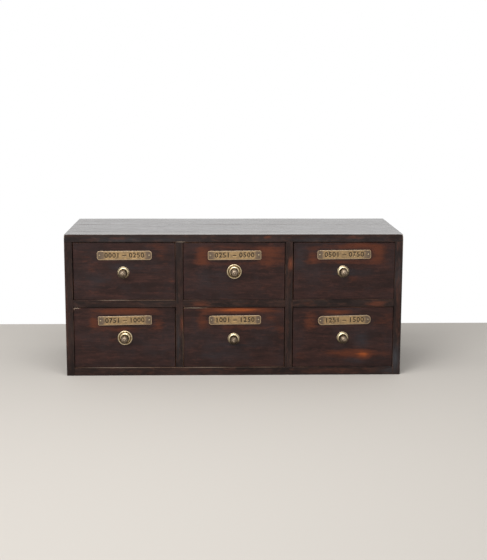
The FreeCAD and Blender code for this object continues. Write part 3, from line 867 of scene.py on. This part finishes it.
def make_rosette(number, materials):
    body = f"drawer_{number}"
    low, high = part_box(f"{body}_rosette")
    seat = Vector(((low.x + high.x) / 2, high.y, (low.z + high.z) / 2))
    radius = (high.x - low.x) / 2 / MM
    height = (high.y - low.y) / MM - ROSETTE_SLACK
    large = number in LARGE_ROSETTE_DRAWERS
    profile = [(ROSETTE_BORE, 0.0, 1.0), (radius - 0.3, 0.0, 0.6), (radius, 0.3, 0.3)]
    profile += rosette_face(radius, height, large)
    profile += [(across, height - below, recess) for across, below, recess in KNOB_SEAT]
    profile += [(ROSETTE_BORE, 0.0, 1.0)]
    turned(profile, seat, f"{body}_rosette_turned", body, materials["rosette"], f"{body}_rosette",
           painted_underside_shade=0.1 if large else 0.5)


def ball_points(ball, grime_and_shade_share):
    """A knob's ball of a given radius, with two rings cut in its front."""
    middle = (0.0, BALL_MIDDLE)
    neck_angle = math.degrees(math.asin((BALL_START - BALL_MIDDLE) / ball))
    points = arc_points(middle, ball, neck_angle, 48, 26, grime_and_shade_share)
    points += arc_points(middle, ball - RING_DEPTH, 49.5, 51, 1, 0.8)
    points += arc_points(middle, ball - 0.02, 52.5, 69, 7, grime_and_shade_share)
    return points + arc_points(middle, ball - RING_DEPTH, 71, 73, 1, 0.9)


def make_knob(number, materials):
    body = f"drawer_{number}"
    low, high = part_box(f"{body}_knob")
    face_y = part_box(f"{body}_front")[0].y
    seat = Vector(((low.x + high.x) / 2, face_y, (low.z + high.z) / 2))
    reach = (face_y - low.y) / MM
    back = (face_y - high.y) / MM
    ball = (high.x - low.x) / 2 / MM
    profile = [(0.0, back, 0.2), (SHANK_RADIUS - SHANK_BEVEL[0], back, 0.2),
               (SHANK_RADIUS, back + SHANK_BEVEL[1], 0.2)]
    profile += NECK + ball_points(ball, KNOB_DIRT[number])
    profile += [(across, reach - below, recess) for across, below, recess in BUTTON]
    turned(profile, seat, f"{body}_knob_turned", body, materials["knob"], f"{body}_knob",
           painted_underside_shade=0.25)


def plate_place(node):
    """Where a label plate lies: its front face's middle, turned as it is tilted."""
    low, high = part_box(node)
    points = [v.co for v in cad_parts[node].data.vertices]
    middle = sum(points, Vector()) / len(points)
    spread_xz = sum((p.x - middle.x) * (p.z - middle.z) for p in points)
    spread_xx = sum((p.x - middle.x) ** 2 for p in points)
    spread_zz = sum((p.z - middle.z) ** 2 for p in points)
    tilt = 0.5 * math.atan2(2 * spread_xz, spread_xx - spread_zz)
    face = Vector(((low.x + high.x) / 2, low.y, (low.z + high.z) / 2))
    return Matrix.Translation(face) @ Matrix.Rotation(-tilt, 4, "Y")


def plate_mesh(node, place):
    """A label plate in its own frame, softened along its outer edges, and divided to be painted."""
    mesh = cad_mesh(node)
    bmesh.ops.transform(mesh, matrix=place.inverted(), verts=mesh.verts)
    half_width = max(v.co.x for v in mesh.verts)
    half_height = max(v.co.z for v in mesh.verts)
    outline = []
    for edge in mesh.edges:
        a, b = (v.co for v in edge.verts)
        on_face = max(a.y, b.y) < 0.1 * MM
        outside = max(math.hypot(p.x, p.z) for p in (a, b)) > half_height
        turns = edge.calc_face_angle(0) > 1
        pin_hole = (a - b).length < PIN_HOLE_REACH * MM and abs(a.z) < PIN_HOLE_REACH * MM
        if on_face and outside and turns and not pin_hole:
            outline.append(edge)
    bmesh.ops.bevel(mesh, geom=outline, offset=PLATE_EDGE * MM, segments=2, affect="EDGES", profile=0.5)
    rim = (PLATE_EDGE * 1.1 * MM, PLATE_RIM * MM)
    divide(mesh, 0, cut_places(-half_width, half_width, PLATE_GRID * MM, rim))
    divide(mesh, 2, cut_places(-half_height, half_height, PLATE_GRID * MM, rim))
    data = bpy.data.meshes.new(node)
    mesh.to_mesh(data)
    mesh.free()
    return data


def figures_mesh(text, front, back):
    """The figures as solids in a plate's own frame, between two depths behind its face."""
    curve = bpy.data.curves.new("figures", "FONT")
    curve.body = text
    curve.size = FIGURE_SIZE * MM
    curve.align_x, curve.align_y = "CENTER", "CENTER"
    curve.space_character = FIGURE_SPACING
    curve.offset = FIGURE_WEIGHT * MM
    curve.extrude = (back - front) / 2 * MM
    curve.resolution_u = 4
    writer = bpy.data.objects.new("writer", curve)
    bpy.context.scene.collection.objects.link(writer)
    data = bpy.data.meshes.new_from_object(writer.evaluated_get(bpy.context.evaluated_depsgraph_get()))
    bpy.data.objects.remove(writer)
    depth = Matrix.Translation(Vector((0, (front + back) / 2 * MM, 0)))
    data.transform(depth @ Matrix.Rotation(math.radians(90), 4, "X"))
    return data


def engraved(data, figures):
    """A plate's mesh with figures cut out of it."""
    plate = bpy.data.objects.new("plate", data)
    cutter = bpy.data.objects.new("cutter", figures)
    for helper in (plate, cutter):
        bpy.context.scene.collection.objects.link(helper)
    cut = plate.modifiers.new("engrave", "BOOLEAN")
    cut.object, cut.operation, cut.solver = cutter, "DIFFERENCE", "EXACT"
    result = bpy.data.meshes.new_from_object(plate.evaluated_get(bpy.context.evaluated_depsgraph_get()))
    for helper in (plate, cutter):
        bpy.data.objects.remove(helper)
    return result


def within(point, half_width, half_height, corner):
    """How far a point lies within the outline of a plate with rounded corners."""
    right = abs(point.x) - half_width + corner
    above = abs(point.z) - half_height + corner
    return corner - math.hypot(max(right, 0), max(above, 0)) - min(max(right, above), 0)


def paint_plate(data, seed):
    """Marks a plate's ends, where it has tarnished, and its rim, which wear keeps bright."""
    recess = data.attributes.new("recess", "FLOAT", "POINT")
    seeds = data.attributes.new("seed", "FLOAT", "POINT")
    half_width = max(v.co.x for v in data.vertices)
    half_height = max(v.co.z for v in data.vertices)
    corner = half_width - max(v.co.x for v in data.vertices if v.co.z > half_height - 0.01 * MM)
    for i, v in enumerate(data.vertices):
        ends = smooth(POLISHED_HALF * MM, TARNISHED_FROM * MM, abs(v.co.x))
        rim = smooth(PLATE_RIM * MM, PLATE_EDGE * MM, within(v.co, half_width, half_height, corner))
        recess.data[i].value = END_RECESS * ends * (1 - rim) + RIM_RECESS * rim
        seeds.data[i].value = seed


def make_label(number, materials):
    """A brass plate with a number range cut into it and filled with dark wax."""
    body = f"drawer_{number}"
    node = f"{body}_label_plate"
    place = plate_place(node)
    plate = engraved(plate_mesh(node, place), figures_mesh(LABELS[number], CUT_START, CUT_DEPTH))
    paint_plate(plate, 1.7 * number)
    plate.transform(place)
    finish_piece(plate, f"{body}_label_engraved", body, [materials["plate"]], node)
    filling = figures_mesh(LABELS[number], WAX_START, CUT_DEPTH)
    filling.transform(place)
    finish_piece(filling, f"{body}_label_figures", body, [materials["wax"]])


# ---- studio ----


def looked_at(net):
    """1 for camera, glossy and transmission rays, and 0 for the rest."""
    path = net.node("LightPath").outputs
    seen = net.math("MAXIMUM", path["Is Camera Ray"], path["Is Glossy Ray"])
    return net.math("MAXIMUM", seen, path["Is Transmission Ray"])


def white_light(net):
    """A surface that shows as plain white."""
    return net.node("Emission", {"Color": WHITE, "Strength": 1.0}).outputs[0]


def stage_piece(name, mesh, material):
    """Makes an object of a mesh that isn't part of the cabinet."""
    data = bpy.data.meshes.new(name)
    mesh.to_mesh(data)
    mesh.free()
    data.materials.append(material)
    piece = bpy.data.objects.new(name, data)
    bpy.context.scene.collection.objects.link(piece)


def make_world():
    world = bpy.data.worlds.new("studio")
    bpy.context.scene.world = world
    net = Net(world)
    light = net.node("Background", {"Color": WHITE, "Strength": WORLD_FILL}).outputs[0]
    shown = net.node("Background", {"Color": WHITE, "Strength": 1.0}).outputs[0]
    net.node("OutputWorld", {"Surface": net.mix_shader(looked_at(net), light, shown)})


def make_floor():
    """A pale floor that fades into the white of the background far off."""
    mesh = bmesh.new()
    bmesh.ops.create_grid(mesh, x_segments=2, y_segments=2, size=FLOOR_HALF)
    net = new_net("pale_floor")
    place = net.node("SeparateXYZ", {0: net.point()}).outputs
    beside = net.step(net.math("ABSOLUTE", place["X"]), *FLOOR_FADES_BESIDE)
    before = net.step(net.math("ABSOLUTE", place["Y"]), *FLOOR_FADES_BEFORE)
    floor = net.node("BsdfPrincipled", {"Base Color": FLOOR_COLOUR, "Roughness": 0.75,
                                        "Specular IOR Level": 0.2}).outputs[0]
    plain = net.node("BsdfDiffuse", {"Color": FLOOR_COLOUR}).outputs[0]
    far = net.mix_shader(looked_at(net), plain, white_light(net))
    away = net.math("MAXIMUM", beside, before)
    net.node("OutputMaterial", {"Surface": net.mix_shader(away, floor, far)})
    stage_piece("floor", mesh, net.owner)


def make_wall():
    """A white wall behind the cabinet, which is there only for what looks at its front."""
    mesh = bmesh.new()
    low, high = (-FLOOR_HALF, 0), (FLOOR_HALF, WALL_HEIGHT)
    corners = [low, (high[0], low[1]), high, (low[0], high[1])]
    mesh.faces.new([mesh.verts.new((x, WALL_Y, z)) for x, z in corners])
    net = new_net("white_wall")
    front = net.math("SUBTRACT", 1.0, net.node("NewGeometry").outputs["Backfacing"])
    nothing = net.node("BsdfTransparent").outputs[0]
    shown = net.times(looked_at(net), front)
    net.node("OutputMaterial", {"Surface": net.mix_shader(shown, nothing, white_light(net))})
    stage_piece("wall", mesh, net.owner)


def make_light(name, place, target, size, power):
    lamp = bpy.data.lights.new(name, "AREA")
    lamp.shape, lamp.size, lamp.size_y, lamp.energy = "RECTANGLE", size[0], size[1], power
    holder = bpy.data.objects.new(name, lamp)
    holder.location = place
    holder.rotation_euler = (Vector(target) - Vector(place)).to_track_quat("-Z", "Y").to_euler()
    bpy.context.scene.collection.objects.link(holder)


def make_camera():
    camera = bpy.data.cameras.new("camera")
    camera.lens, camera.sensor_width = CAMERA_LENS, SENSOR
    holder = bpy.data.objects.new("camera", camera)
    turn = Matrix.Rotation(CAMERA_YAW, 3, "Z") @ Matrix.Rotation(math.pi / 2 + CAMERA_PITCH, 3, "X")
    holder.location = CAMERA_PLACE
    holder.rotation_euler = (turn @ Matrix.Rotation(CAMERA_ROLL, 3, "Z")).to_euler()
    bpy.context.scene.collection.objects.link(holder)
    bpy.context.scene.camera = holder


def make_studio():
    make_world()
    make_floor()
    make_wall()
    make_light("overhead", place=(-0.2, -0.9, 1.9), target=(0, 0, 0.2), size=(2.0, 0.9), power=22)
    make_light("key", place=(-1.2, -2.4, 1.6), target=(0, FRONT_Y, 0.15), size=(1.2, 1.0), power=30)
    make_camera()
    bpy.context.scene.view_settings.view_transform = "Standard"


def main():
    make_studio()
    materials = make_materials()
    dress_case(materials)
    for number in DRAWERS:
        dress_drawer(number, materials)
        make_rosette(number, materials)
        make_knob(number, materials)
        make_label(number, materials)


main()
